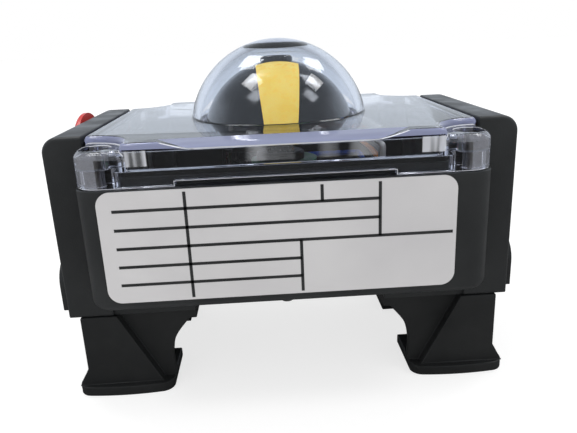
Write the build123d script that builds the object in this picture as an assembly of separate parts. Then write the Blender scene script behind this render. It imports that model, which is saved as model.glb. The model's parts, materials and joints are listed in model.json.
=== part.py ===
"""Valve limit switch box: a position monitor that stands on a quarter-turn valve actuator.

Millimetres. Origin on the shaft axis in the plane the feet stand on, +Z up the shaft,
-Y towards the label, +X to the right of someone reading the label.
"""

from build123d import *
import math
import os

os.makedirs("parts", exist_ok=True)

# ---------------------------------------------------------------- driving dimensions
# interface to the actuator (80 x 30 pattern, 20 mm high pinion)
BOLT_PITCH_X = 80.0
BOLT_PITCH_Y = 30.0
SLOT_WIDTH = 5.5
SLOT_LENGTH = 7.5
PINION_HEIGHT = 20.0
TONGUE_WIDTH = 3.9
TONGUE_DEPTH = 3.6
PILOT_RADIUS = 2.4
PILOT_LENGTH = 7.0
PILOT_CHAMFER = 0.8

# housing
HOUSING_HALF_X = 41.7
HOUSING_HALF_Y = 35.8
HOUSING_CORNER = 5.0
HOUSING_BOTTOM = 25.7
HOUSING_EDGE = 2.4
JOINT_Z = 51.7
FLOOR = 3.0
RIM_HEIGHT = 2.0
RIM_WALL = 2.0
NOTCH_CLEAR_X = 6.2
NOTCH_CLEAR_Y = 5.8
NOTCH_INSIDE = 3.6
NOTCH_OUTSIDE = 1.0

# raised blocks at both ends, and the pads under the housing that carry the feet
BLOCK_PROUD = 8.6
BLOCK_INSET = 11.8
BLOCK_BOTTOM = 19.4
BLOCK_SHOULDER = 3.5
BLOCK_EDGE = 0.8
SIDE_PAD_RADIUS = 5.5
SIDE_PAD_PROUD = 1.6
SIDE_PAD_INSET = 7.5
SIDE_PAD_BOTTOM = 20.6
SIDE_PAD_HEIGHT = 11.4

# feet
FOOT_PLATE = 2.3
FOOT_LENGTH = 22.1
FOOT_LIP = 1.2
FOOT_BEHIND_BOLT = 5.5
FOOT_BULGE = 0.9
FOOT_CORNER = 3.0
FOOT_WALL_INSET = 2.5
FOOT_WALL = 2.5
FOOT_FLANGE = 2.5
FOOT_FLANGE_LENGTH = 28.5
FOOT_SKIRT_TOP = 6.4
WEB_PROUD = 0.3
WEB = 2.3
WEB_TOP = 11.3
WEB_TOE = 2.4
RIB = 2.2
FOOT_SCREW_RADIUS = 1.5
FOOT_SCREW_LENGTH = 7.5
FOOT_SCREW_EDGE = 3.6

# clear cover
COVER_HEIGHT = 8.9
EAR_DROP = 1.5
COVER_GAP_SIDE = 0.4
SKIRT_GAP = 0.2
SKIRT_WALL = 2.0
RIM_GAP = 0.3
GASKET = 1.0
GASKET_GAP = 0.2
GASKET_INSET = 0.3
COVER_PLATE = 2.2
PLATEAU_EDGE = 1.2
PLATEAU_CORNER = 1.6
SCALLOP_OUT = 2.5
SCALLOP_RADIUS = 8.4
BEVEL_DROP = 1.5
BEVEL_BACK = 3.4
BEVEL_HALF_X = 18.5
BEVEL_RUN = 6.0
EAR_EDGE = 1.5
SKIRT_STEP = 1.0
SKIRT_STEP_HALF_X = 21.5
DOME_RADIUS = 21.6
DOME_SINK = 4.0
DOME_WALL = 1.8
DOME_PAD_RADIUS = 6.6
COVER_SCREW_INSET_X = 4.3
COVER_SCREW_INSET_Y = 5.5
COVER_SCREW_RADIUS = 1.9
SCREW_HEAD_RADIUS = 2.9
SCREW_HEAD = 2.2
SCREW_SEAT_DEPTH = 3.9
SCREW_REACH = 6.0
WASHER = 0.4
INSERT_WALL = 1.1
INSERT_LENGTH = 7.5

# label plate
LABEL_MARGIN = 6.4
LABEL_RAISE = 2.5
LABEL_DROP = 0.3
LABEL_OFFSET = -1.7
LABEL_THICK = 0.4
LABEL_CORNER = 2.8

# conduit entry (half-inch taper thread) and its dust plug
ENTRY_DROP = 3.8
ENTRY_RADIUS = 9.9
ENTRY_DEPTH = 9.0
WIRE_WAY_RADIUS = 5.6
WIRE_WAY_DROP = 6.5
PLUG_FLANGE_RADIUS = 13.4
PLUG_FLANGE = 1.4
PLUG_STEM = 6.5
PLUG_WALL = 1.5
PLUG_GRIP = 2.6
PLUG_GRIP_INSET = 6.0

# drive shaft and its seat
SHAFT_RADIUS = 5.0
RUNNING_GAP = 0.05
BUSH_WALL = 2.95
BOSS_WALL = 2.5
BOSS_BOTTOM = 23.2
BOSS_TOP = 32.5
BUSH_FLANGE = 1.0
BUSH_FLANGE_RADIUS = 9.6
SEAL_SECTION = 0.8
THRUST_WASHER = 0.6
CIRCLIP = 0.8
CIRCLIP_GAP = 0.4
CIRCLIP_DEPTH = 0.6
CIRCLIP_RADIUS = 7.2
SQUARE = 6.6
COLLAR = 1.0
COLLAR_RADIUS = 6.5
SHAFT_TOP_DROP = 4.6

# cams and switches
CAM_THICK = 5.0
CAM_LOW = 7.6
CAM_HIGH = 9.2
SHAFT_TRAVEL = 90.0
CAM_SPACER = 4.0
TOP_RING = 2.0
TOP_RING_RADIUS = 6.0
SET_SCREW_RADIUS = 1.2
SWITCH_LONG = 19.8
SWITCH_DEEP = 10.2
SWITCH_THICK = 6.4
SWITCH_FACE_Y = 15.5
SWITCH_LEFT = -15.9
SWITCH_HOLE_IN = 5.1
SWITCH_HOLE_PITCH = 9.5
SWITCH_HOLE_BACK = 7.6
SWITCH_SCREW_RADIUS = 1.1
HINGE_X = -14.0
HINGE_Y = 14.5
HINGE_PIN = 0.4
HINGE_BARREL = 0.85
LEVER_THICK = 0.4
LEVER_WIDTH = 3.4
ROLL_RADIUS = 2.4
ROLL_Y = 12.0
LEVER_SWING = 6.5
PLUNGER_X = -8.8
PLUNGER_SIZE = 1.2
PLUNGER_GAP = 0.05
PLUNGER_TIP_Y = 14.05
PLUNGER_DEEP = 2.2
PLUNGER_TRAVEL = 0.58
TAB_THICK = 0.5
TAB_WIDTH = 3.0
TAB_INSET = 2.6
TAB_END = 0.9
TAB_EYE = 0.5
BRACKET = 1.5
BRACKET_FRONT = 13.5
BRACKET_WALL_GAP = 2.0
BRACKET_SIDE_GAP = 6.2
POST_Y = 21.5
POST_INSET = 3.5
POST_RADIUS = 3.2
POST_GRIP = 3.0
SPIGOT_RADIUS = 1.6
SPIGOT = 2.0
SMALL_SCREW = 1.45
NUT = 1.6
NUT_RADIUS = 2.3
NUT_PROUD = 0.6

# terminal block
POLES = 6
POLE_PITCH = 7.5
BLOCK_WALL_GAP = 4.0
BLOCK_BACK_Y = -15.5
BLOCK_HEIGHT = 12.0
BLOCK_EAR_OUT = 3.1
BLOCK_EAR_Y = -18.3
BLOCK_EAR = 3.0
BLOCK_EAR_HALF = 2.8
WIRE_HOLE = 3.6
WIRE_HOLE_UP = 2.2
WIRE_HOLE_DEEP = 3.4
POLE_SCREW_RADIUS = 2.1
POLE_SCREW = 3.0
POLE_SINK = 5.0
POLE_SLOT = 0.7

# wires
WIRE_RADIUS = 0.7
WIRE_BEND = 0.95
WIRE_PITCH = 2.0
WIRE_RISE = 1.9
WIRE_SIDE_GAP = 6.6
WIRE_FIRST_DROP = 3.0
WIRE_LANE = 2.7
WIRE_IN = 2.4

# position indicator
INDICATOR_GAP = 1.2
INDICATOR_SINK = 2.0
INDICATOR_FLAT = 0.3
INDICATOR_BASE_DROP = 1.0
INDICATOR_WALL = 2.2
BAND_THICK = 1.1
BAND_PROUD = 0.1
BAND_GAP = 0.02
BAND_HALF_LOW = 3.6
BAND_HALF_HIGH = 5.0
BAND_START = 4.8
HUB_RADIUS = 5.5
HUB_GRIP = 2.5
INDICATOR_SCREW = 1.45
TOP_SCREW_HEAD_RADIUS = 3.9
TOP_SCREW_HEAD = 2.0
TOP_SCREW_SINK = 0.8

# ---------------------------------------------------------------- derived sizes
BLOCK_OUT = HOUSING_HALF_X + BLOCK_PROUD
BLOCK_HALF_Y = HOUSING_HALF_Y - BLOCK_INSET
SIDE_PAD_Y = BLOCK_HALF_Y - SIDE_PAD_INSET
COVER_TOP = JOINT_Z + COVER_HEIGHT
EAR_TOP = COVER_TOP - EAR_DROP
BLOCK_TOP = COVER_TOP
DOME_CENTRE_Z = COVER_TOP - DOME_SINK
FLOOR_TOP = HOUSING_BOTTOM + FLOOR
RIM_TOP = JOINT_Z + RIM_HEIGHT
COVER_HALF_X = HOUSING_HALF_X - COVER_GAP_SIDE
COVER_HALF_Y = HOUSING_HALF_Y
COVER_BOTTOM = JOINT_Z + SKIRT_GAP
COVER_SCREW_X = HOUSING_HALF_X - COVER_SCREW_INSET_X
COVER_SCREW_Y = HOUSING_HALF_Y - COVER_SCREW_INSET_Y
NOTCH_X = COVER_SCREW_X - NOTCH_CLEAR_X
NOTCH_Y = COVER_SCREW_Y - NOTCH_CLEAR_Y
RIM_OUT_X = COVER_HALF_X - SKIRT_WALL - RIM_GAP
RIM_OUT_Y = COVER_HALF_Y - SKIRT_WALL - RIM_GAP
CAVITY_X = RIM_OUT_X - RIM_WALL
CAVITY_Y = RIM_OUT_Y - RIM_WALL
GASKET_TOP = RIM_TOP + GASKET
SHOULDER_Z = GASKET_TOP + GASKET_GAP
LABEL_WIDTH = 2 * (HOUSING_HALF_X - LABEL_MARGIN)
LABEL_BOTTOM = HOUSING_BOTTOM + LABEL_RAISE
LABEL_TOP = JOINT_Z - LABEL_DROP
ENTRY_Y = BLOCK_HALF_Y / 2
ENTRY_Z = JOINT_Z - ENTRY_DROP
WIRE_WAY_Z = JOINT_Z - WIRE_WAY_DROP
FOOT_IN = BLOCK_OUT - FOOT_LENGTH
FOOT_FRONT = BLOCK_HALF_Y + FOOT_LIP
FOOT_BACK = BOLT_PITCH_Y / 2 - FOOT_BEHIND_BOLT
FOOT_WALL_OUT = BLOCK_OUT - FOOT_WALL_INSET
PAD_IN_X = BLOCK_OUT - FOOT_FLANGE_LENGTH
WEB_FRONT = BLOCK_HALF_Y + WEB_PROUD
FOOT_SCREW_X = (FOOT_IN + 2.5 * FOOT_SCREW_RADIUS, FOOT_WALL_OUT - FOOT_WALL - 2.4 * FOOT_SCREW_RADIUS)
FOOT_SCREW_Y = FOOT_BACK + FOOT_SCREW_EDGE
BUSH_OUT = SHAFT_RADIUS + RUNNING_GAP + BUSH_WALL
BOSS_RADIUS = BUSH_OUT + BOSS_WALL
WASHER_TOP = BOSS_TOP + BUSH_FLANGE + THRUST_WASHER
COLLAR_BOTTOM = WASHER_TOP + 2 * RUNNING_GAP
CAM_1_BOTTOM = COLLAR_BOTTOM + COLLAR
CAM_2_BOTTOM = CAM_1_BOTTOM + CAM_THICK + CAM_SPACER
CAM_2_TOP = CAM_2_BOTTOM + CAM_THICK
SWITCH_1_Z = CAM_1_BOTTOM + CAM_THICK / 2
SWITCH_2_Z = CAM_2_BOTTOM + CAM_THICK / 2
SWITCH_RIGHT = SWITCH_LEFT + SWITCH_LONG
SWITCH_BACK_Y = SWITCH_FACE_Y + SWITCH_DEEP
SWITCH_HOLE_Y = SWITCH_FACE_Y + SWITCH_HOLE_BACK
SWITCH_HOLES = (SWITCH_LEFT + SWITCH_HOLE_IN, SWITCH_LEFT + SWITCH_HOLE_IN + SWITCH_HOLE_PITCH)
TAB_XS = [SWITCH_LEFT + TAB_INSET + i * (SWITCH_LONG - 2 * TAB_INSET) / 2 for i in range(3)]
EYE_Y = (SWITCH_BACK_Y + CAVITY_Y) / 2
BRACKET_TOP = SWITCH_1_Z - SWITCH_THICK / 2
BRACKET_BACK = CAVITY_Y - BRACKET_WALL_GAP
BRACKET_HALF_X = NOTCH_X - BRACKET_SIDE_GAP
POST_X = BRACKET_HALF_X - POST_INSET
POST_TOP = BRACKET_TOP - BRACKET
STACK_TOP = SWITCH_2_Z + SWITCH_THICK / 2
BLOCK_Y = (BLOCK_WALL_GAP - CAVITY_Y, BLOCK_BACK_Y)
BLOCK_HALF_X = POLES * POLE_PITCH / 2
BLOCK_EAR_X = BLOCK_HALF_X + BLOCK_EAR_OUT
WIRE_SIDE_X = NOTCH_X - WIRE_SIDE_GAP
WIRE_LANE_Y = BLOCK_BACK_Y + WIRE_LANE
SHAFT_TOP = COVER_TOP - SHAFT_TOP_DROP
INDICATOR_RADIUS = DOME_RADIUS - DOME_WALL - INDICATOR_GAP
INDICATOR_CENTRE_Z = DOME_CENTRE_Z - INDICATOR_SINK
INDICATOR_TOP = INDICATOR_CENTRE_Z + INDICATOR_RADIUS - INDICATOR_FLAT
INDICATOR_BASE = COVER_TOP - INDICATOR_BASE_DROP
HUB_BOTTOM = SHAFT_TOP - HUB_GRIP
SIGNS = ((-1, -1), (1, -1), (-1, 1), (1, 1))


# ---------------------------------------------------------------- helpers
def block(x0, x1, y0, y1, z0, z1):
    """A box between two corners."""
    size = Box(abs(x1 - x0), abs(y1 - y0), abs(z1 - z0))
    return Pos((x0 + x1) / 2, (y0 + y1) / 2, (z0 + z1) / 2) * size


def post(radius, z0, z1, x=0.0, y=0.0):
    """An upright cylinder."""
    return Pos(x, y, (z0 + z1) / 2) * Cylinder(radius, z1 - z0)


def tube(outer, inner, z0, z1, x=0.0, y=0.0):
    """An upright tube."""
    return post(outer, z0, z1, x, y) - post(inner, z0, z1, x, y)


def rod_x(radius, x0, x1, y, z):
    """A cylinder along X."""
    return Pos((x0 + x1) / 2, y, z) * Rot(0, 90, 0) * Cylinder(radius, abs(x1 - x0))


def rise(sketch, z0, z1):
    """A sketch raised between two heights."""
    return Pos(0, 0, z0) * extrude(sketch, z1 - z0)


def notched(half_x, half_y, grow):
    """A rectangle whose four corners step in round the cover screws; grow widens the waist."""
    notch_x = NOTCH_X + grow
    notch_y = NOTCH_Y + grow
    face = Rectangle(2 * half_x, 2 * half_y)
    for sx, sy in SIGNS:
        cut_x = half_x - notch_x
        cut_y = half_y - notch_y
        face -= Pos(sx * (notch_x + cut_x / 2), sy * (notch_y + cut_y / 2)) * Rectangle(cut_x, cut_y)
    inner = [v for v in face.vertices() if abs(v.X) < half_x - 1 and abs(v.Y) < half_y - 1]
    face = fillet(inner, NOTCH_INSIDE + NOTCH_OUTSIDE - grow)
    outer = [v for v in face.vertices() if abs(v.X) > half_x - 0.01 or abs(v.Y) > half_y - 0.01]
    outer = [v for v in outer if min(abs(abs(v.X) - notch_x), abs(abs(v.Y) - notch_y)) < 0.01]
    return fillet(outer, NOTCH_OUTSIDE + grow / 2)


def outline_face(points):
    """A closed face in the XZ plane from (x, z) points."""
    return make_face(Polyline(*[(x, 0, z) for x, z in points], close=True))


def plate_y(face, y0, y1):
    """An XZ face given thickness between two Y planes."""
    return Pos(0, min(y0, y1), 0) * extrude(face, abs(y1 - y0), dir=(0, 1, 0))


def group(parts):
    """Separate solids kept in one node."""
    return Compound(children=[solid for part in parts for solid in part.solids()])


def save(name, part):
    """One node, one STEP file."""
    part.label = name
    export_step(part, f"parts/{name}.step")


# ---------------------------------------------------------------- housing
def end_block(side):
    """Raised block at one end, with its arched pads."""
    body = block(side * (HOUSING_HALF_X - 1.5), side * BLOCK_OUT, -BLOCK_HALF_Y, BLOCK_HALF_Y,
                 BLOCK_BOTTOM, BLOCK_TOP)
    shoulder = [e for e in body.edges().filter_by(Axis.Y)
                if abs(abs(e.center().X) - BLOCK_OUT) < 0.01 and e.center().Z > JOINT_Z]
    body = fillet(shoulder, BLOCK_SHOULDER)
    rest = [e for e in body.edges()
            if abs(e.center().X) > HOUSING_HALF_X + 1 and abs(abs(e.center().Y) - BLOCK_HALF_Y) < 0.01]
    body = fillet(rest, BLOCK_EDGE)
    for sy in (-1, 1):
        y = sy * SIDE_PAD_Y
        arch_z = SIDE_PAD_BOTTOM + SIDE_PAD_HEIGHT - SIDE_PAD_RADIUS
        out = side * (BLOCK_OUT + SIDE_PAD_PROUD)
        body += rod_x(SIDE_PAD_RADIUS, side * (BLOCK_OUT - 1), out, y, arch_z)
        body += block(side * (BLOCK_OUT - 1), out, y - SIDE_PAD_RADIUS, y + SIDE_PAD_RADIUS,
                      SIDE_PAD_BOTTOM, arch_z)
    return body


def make_housing():
    """Moulded base: tub, rim, end blocks, foot pads and the boss under the floor."""
    outer = rise(RectangleRounded(2 * HOUSING_HALF_X, 2 * HOUSING_HALF_Y, HOUSING_CORNER),
                 HOUSING_BOTTOM, JOINT_Z)
    outer = fillet(outer.faces().sort_by(Axis.Z)[0].edges(), HOUSING_EDGE)
    body = outer + rise(notched(RIM_OUT_X, RIM_OUT_Y, RIM_WALL), JOINT_Z - 1, RIM_TOP)
    cover_room = block(-HOUSING_HALF_X, HOUSING_HALF_X, -HOUSING_HALF_Y, HOUSING_HALF_Y,
                       JOINT_Z, BLOCK_TOP + 1)
    for side in (-1, 1):
        body += end_block(side) - cover_room
        for sy in (-1, 1):
            body += block(side * PAD_IN_X, side * (BLOCK_OUT - BLOCK_EDGE), sy * FOOT_BACK,
                          sy * (BLOCK_HALF_Y - BLOCK_EDGE), BLOCK_BOTTOM, HOUSING_BOTTOM + 1)
    body -= rise(notched(CAVITY_X, CAVITY_Y, 0), FLOOR_TOP, RIM_TOP)
    body += post(BOSS_RADIUS, BOSS_BOTTOM, FLOOR_TOP)
    body -= post(BUSH_OUT, BOSS_BOTTOM, FLOOR_TOP)
    for side in (-1, 1):
        body -= post(SPIGOT_RADIUS, FLOOR_TOP - SPIGOT, FLOOR_TOP, side * POST_X, POST_Y)
        body -= post(SMALL_SCREW, FLOOR_TOP - FLOOR * 0.75, FLOOR_TOP, side * BLOCK_EAR_X, BLOCK_EAR_Y)
    for sx, sy in SIGNS:
        body -= post(COVER_SCREW_RADIUS + 0.1 + INSERT_WALL, JOINT_Z - INSERT_LENGTH, JOINT_Z,
                     sx * COVER_SCREW_X, sy * COVER_SCREW_Y)
        for x in FOOT_SCREW_X:
            body -= post(FOOT_SCREW_RADIUS, BLOCK_BOTTOM, BLOCK_BOTTOM + FOOT_SCREW_LENGTH - FOOT_FLANGE,
                         sx * x, sy * FOOT_SCREW_Y)
    body -= rod_x(ENTRY_RADIUS, -BLOCK_OUT - 1, -BLOCK_OUT + ENTRY_DEPTH, ENTRY_Y, ENTRY_Z)
    body -= rod_x(WIRE_WAY_RADIUS, -BLOCK_OUT, -CAVITY_X + 1, ENTRY_Y, WIRE_WAY_Z)
    return body


def make_label():
    """Thin plate on the front face, left bare."""
    height = LABEL_TOP - LABEL_BOTTOM
    face = Plane.XZ * RectangleRounded(LABEL_WIDTH, height, LABEL_CORNER)
    plate = extrude(face, LABEL_THICK, dir=(0, -1, 0))
    return Pos(LABEL_OFFSET, -HOUSING_HALF_Y, LABEL_BOTTOM + height / 2) * plate


# ---------------------------------------------------------------- feet
def foot_sole():
    """Sole of a foot at +X, -Y: a plate with a bowed front edge and one bolt slot."""
    middle = (FOOT_IN + BLOCK_OUT) / 2
    front = ThreePointArc((FOOT_IN, -FOOT_FRONT), (middle, -FOOT_FRONT - FOOT_BULGE),
                          (BLOCK_OUT, -FOOT_FRONT))
    rest = Polyline((BLOCK_OUT, -FOOT_FRONT), (BLOCK_OUT, -FOOT_BACK), (FOOT_IN, -FOOT_BACK),
                    (FOOT_IN, -FOOT_FRONT))
    face = make_face([front, rest])
    face = fillet([v for v in face.vertices() if v.Y < -FOOT_BACK - 1], FOOT_CORNER)
    sole = extrude(face, FOOT_PLATE)
    slot = Pos(BOLT_PITCH_X / 2, -BOLT_PITCH_Y / 2) * SlotOverall(SLOT_LENGTH, SLOT_WIDTH)
    return sole - extrude(slot, FOOT_PLATE)


def make_foot():
    """Mounting foot for the +X, -Y corner: sole, outer wall, front web, arched rib and top flange."""
    foot = foot_sole()
    foot += block(FOOT_WALL_OUT - FOOT_WALL, FOOT_WALL_OUT, -WEB_FRONT, -FOOT_BACK,
                  FOOT_PLATE, BLOCK_BOTTOM)
    skirt = outline_face([(FOOT_WALL_OUT, FOOT_PLATE), (BLOCK_OUT - 0.3, FOOT_PLATE),
                          (FOOT_WALL_OUT, FOOT_SKIRT_TOP)])
    foot += plate_y(skirt, -WEB_FRONT, -FOOT_BACK)
    web = outline_face([(FOOT_WALL_OUT, FOOT_PLATE), (FOOT_WALL_OUT, BLOCK_BOTTOM),
                        (FOOT_IN + WEB_TOP, BLOCK_BOTTOM), (FOOT_IN + WEB_TOE, FOOT_PLATE)])
    foot += plate_y(web, -WEB_FRONT, -WEB_FRONT + WEB)
    reach = FOOT_IN - PAD_IN_X
    flare = Spline((FOOT_IN - 0.08 * reach, 0, FOOT_PLATE), (FOOT_IN - 0.02 * reach, 0, 0.44 * BLOCK_BOTTOM),
                   (FOOT_IN - 0.19 * reach, 0, 0.64 * BLOCK_BOTTOM),
                   (FOOT_IN - 0.47 * reach, 0, 0.77 * BLOCK_BOTTOM), (PAD_IN_X, 0, BLOCK_BOTTOM))
    rim = Polyline((PAD_IN_X, 0, BLOCK_BOTTOM), (FOOT_WALL_OUT, 0, BLOCK_BOTTOM),
                   (FOOT_WALL_OUT, 0, FOOT_PLATE), (FOOT_IN - 0.08 * reach, 0, FOOT_PLATE))
    rib = make_face([flare, rim])
    rib_front = -WEB_FRONT + WEB
    foot += plate_y(rib, rib_front, rib_front + RIB)
    foot += block(PAD_IN_X, FOOT_WALL_OUT, rib_front, -FOOT_BACK, BLOCK_BOTTOM - FOOT_FLANGE, BLOCK_BOTTOM)
    for x in FOOT_SCREW_X:
        foot -= post(FOOT_SCREW_RADIUS + 0.2, BLOCK_BOTTOM - FOOT_FLANGE, BLOCK_BOTTOM, x, -FOOT_SCREW_Y)
    return foot


def placed_foot(sx, sy):
    """The foot mirrored to its corner."""
    foot = make_foot()
    if sx < 0:
        foot = mirror(foot, Plane.YZ)
    if sy > 0:
        foot = mirror(foot, Plane.XZ)
    return foot


def make_foot_screws():
    """Two pan-head screws up through each foot's flange."""
    screws = []
    under = BLOCK_BOTTOM - FOOT_FLANGE
    for sx, sy in SIGNS:
        for x in FOOT_SCREW_X:
            at = (sx * x, sy * FOOT_SCREW_Y)
            head = post(2 * FOOT_SCREW_RADIUS, under - 1.8, under, *at)
            head = fillet(head.faces().sort_by(Axis.Z)[0].edges(), 0.6)
            screws.append(head + post(FOOT_SCREW_RADIUS, under, under + FOOT_SCREW_LENGTH - 0.3, *at))
    return group(screws)


# ---------------------------------------------------------------- cover
def scalloped(half_x, half_y):
    """The plateau's outline: a rectangle hollowed round each cover screw."""
    face = Rectangle(2 * half_x, 2 * half_y)
    out_x = COVER_SCREW_X + SCALLOP_OUT
    out_y = COVER_SCREW_Y + SCALLOP_OUT
    for sx, sy in SIGNS:
        face -= Pos(sx * out_x, sy * out_y) * Circle(SCALLOP_RADIUS)
    return fillet(face.vertices(), PLATEAU_CORNER)


def plateau_bevel(side):
    """What the long bevel along the middle of one cover edge takes away."""
    low = COVER_TOP - BEVEL_DROP
    over = COVER_TOP + 1
    end = BEVEL_HALF_X + BEVEL_RUN
    outer = side * COVER_HALF_Y
    inner = side * (COVER_HALF_Y - BEVEL_BACK)
    sweep = outline_face([(-end, over), (end, over), (end, COVER_TOP), (BEVEL_HALF_X, low),
                          (-BEVEL_HALF_X, low), (-end, COVER_TOP)])
    sweep = fillet([v for v in sweep.vertices() if abs(v.Z - low) < 0.01], 2 * BEVEL_RUN)
    slope = make_face(Polyline((0, outer, low), (0, inner, COVER_TOP), (0, inner, over),
                               (0, outer, over), close=True))
    wedge = Pos(-end, 0, 0) * extrude(slope, 2 * end, dir=(1, 0, 0))
    return wedge & plate_y(sweep, inner, outer)


def make_cover():
    """Clear cover: skirt, screw ears, plateau and dome, hollow underneath."""
    ears = rise(RectangleRounded(2 * COVER_HALF_X, 2 * COVER_HALF_Y, HOUSING_CORNER),
                COVER_BOTTOM, EAR_TOP)
    ears = fillet(ears.faces().sort_by(Axis.Z)[-1].edges(), EAR_EDGE)
    plateau = rise(scalloped(COVER_HALF_X, COVER_HALF_Y), COVER_BOTTOM, COVER_TOP)
    plateau = fillet(plateau.faces().sort_by(Axis.Z)[-1].edges(), PLATEAU_EDGE)
    plateau -= plateau_bevel(-1) + plateau_bevel(1)
    dome = Pos(0, 0, DOME_CENTRE_Z) * Sphere(DOME_RADIUS)
    dome &= block(-DOME_RADIUS, DOME_RADIUS, -DOME_RADIUS, DOME_RADIUS, EAR_TOP,
                  DOME_CENTRE_Z + DOME_RADIUS)
    body = ears + plateau + dome
    inner_radius = DOME_RADIUS - DOME_WALL
    pad_z = DOME_CENTRE_Z + math.sqrt(inner_radius**2 - DOME_PAD_RADIUS**2)
    hollow = Pos(0, 0, DOME_CENTRE_Z) * Sphere(inner_radius)
    hollow &= block(-inner_radius, inner_radius, -inner_radius, inner_radius, SHOULDER_Z, pad_z)
    body -= hollow
    body -= rise(notched(CAVITY_X, CAVITY_Y, 0), SHOULDER_Z, COVER_TOP - COVER_PLATE)
    body -= rise(notched(RIM_OUT_X + RIM_GAP, RIM_OUT_Y + RIM_GAP, RIM_WALL + RIM_GAP),
                 COVER_BOTTOM, SHOULDER_Z)
    for sy in (-1, 1):
        body -= block(-SKIRT_STEP_HALF_X, SKIRT_STEP_HALF_X, sy * (COVER_HALF_Y - SKIRT_WALL - RIM_GAP),
                      sy * COVER_HALF_Y, COVER_BOTTOM, COVER_BOTTOM + SKIRT_STEP)
    for sx, sy in SIGNS:
        at = (sx * COVER_SCREW_X, sy * COVER_SCREW_Y)
        body -= post(COVER_SCREW_RADIUS + 0.15, COVER_BOTTOM, EAR_TOP, *at)
        body -= post(SCREW_HEAD_RADIUS + 0.3, EAR_TOP - SCREW_SEAT_DEPTH, EAR_TOP, *at)
    return body


def make_cover_screws():
    """Four captive slotted screws."""
    screws = []
    seat = EAR_TOP - SCREW_SEAT_DEPTH + WASHER
    for sx, sy in SIGNS:
        at = (sx * COVER_SCREW_X, sy * COVER_SCREW_Y)
        head = post(SCREW_HEAD_RADIUS, seat, seat + SCREW_HEAD, *at)
        head = fillet(head.faces().sort_by(Axis.Z)[-1].edges(), 0.5)
        head -= Pos(*at, seat + SCREW_HEAD) * Rot(0, 0, 35) * Box(8, 0.9, 1.8)
        screws.append(head + post(COVER_SCREW_RADIUS, JOINT_Z - SCREW_REACH, seat, *at))
    return group(screws)


def make_cover_washers():
    """Washers under the cover screws."""
    seat = EAR_TOP - SCREW_SEAT_DEPTH
    return group([tube(SCREW_HEAD_RADIUS, COVER_SCREW_RADIUS, seat, seat + WASHER,
                       sx * COVER_SCREW_X, sy * COVER_SCREW_Y) for sx, sy in SIGNS])


def make_inserts():
    """Brass inserts that take the cover screws."""
    return group([tube(COVER_SCREW_RADIUS + 0.1 + INSERT_WALL, COVER_SCREW_RADIUS + 0.1,
                       JOINT_Z - INSERT_LENGTH, JOINT_Z, sx * COVER_SCREW_X, sy * COVER_SCREW_Y)
                  for sx, sy in SIGNS])


def make_gasket():
    """Flat gasket on the rim."""
    outer = rise(notched(RIM_OUT_X - GASKET_INSET, RIM_OUT_Y - GASKET_INSET, RIM_WALL - GASKET_INSET),
                 RIM_TOP, GASKET_TOP)
    return outer - rise(notched(CAVITY_X + GASKET_INSET, CAVITY_Y + GASKET_INSET, GASKET_INSET),
                        RIM_TOP, GASKET_TOP)


# ---------------------------------------------------------------- dust plug
def make_plug():
    """Moulded plug in the conduit entry: flange, hollow stem and a cross grip."""
    face = -BLOCK_OUT - 2 * RUNNING_GAP
    out = face - PLUG_FLANGE
    plug = rod_x(PLUG_FLANGE_RADIUS, face, out, ENTRY_Y, ENTRY_Z)
    plug = fillet(plug.edges().filter_by(GeomType.CIRCLE).sort_by(Axis.X)[0], 0.7)
    plug += rod_x(ENTRY_RADIUS - 2 * RUNNING_GAP, face, face + PLUG_STEM, ENTRY_Y, ENTRY_Z)
    plug -= rod_x(ENTRY_RADIUS - 2 * RUNNING_GAP - PLUG_WALL, face - 0.4, face + PLUG_STEM, ENTRY_Y, ENTRY_Z)
    grip = PLUG_FLANGE_RADIUS - PLUG_GRIP_INSET
    for half_y, half_z in ((grip, 0.9), (0.9, grip)):
        plug += block(out, out - PLUG_GRIP, ENTRY_Y - half_y, ENTRY_Y + half_y,
                      ENTRY_Z - half_z, ENTRY_Z + half_z)
    return plug


# ---------------------------------------------------------------- shaft line
def square_bore(z0, z1):
    """The square of the shaft, as a cutting tool or as the shaft itself."""
    return rise(RectangleRounded(SQUARE, SQUARE, 0.8), z0, z1)


def make_shaft():
    """Drive shaft: pilot pin, tongue, journal, collar and square upper end."""
    journal = PINION_HEIGHT + 0.4
    tongue = journal - TONGUE_DEPTH
    tip = tongue - PILOT_LENGTH
    shaft = post(SHAFT_RADIUS, journal, COLLAR_BOTTOM)
    blade = block(-SHAFT_RADIUS, SHAFT_RADIUS, -TONGUE_WIDTH / 2, TONGUE_WIDTH / 2, tongue, journal)
    shaft += blade & post(SHAFT_RADIUS, tongue, journal)
    pilot = post(PILOT_RADIUS, tip, tongue)
    pilot = chamfer(pilot.faces().sort_by(Axis.Z)[0].edges(), PILOT_CHAMFER)
    shaft += pilot
    groove = BOSS_BOTTOM - CIRCLIP_GAP
    shaft -= tube(SHAFT_RADIUS, SHAFT_RADIUS - CIRCLIP_DEPTH - 0.02, groove - CIRCLIP, groove)
    shaft += post(COLLAR_RADIUS, COLLAR_BOTTOM, CAM_1_BOTTOM)
    shaft += square_bore(CAM_1_BOTTOM, SHAFT_TOP)
    shaft -= post(INDICATOR_SCREW, SHAFT_TOP - 8, SHAFT_TOP)
    return shaft


def make_circlip():
    """Open ring in the shaft's groove, under the boss."""
    top = BOSS_BOTTOM - CIRCLIP_GAP
    ring = tube(CIRCLIP_RADIUS, SHAFT_RADIUS - CIRCLIP_DEPTH, top - CIRCLIP, top)
    return ring - block(-1.6, 1.6, -CIRCLIP_RADIUS - 1, 0, top - CIRCLIP, top)


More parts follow.
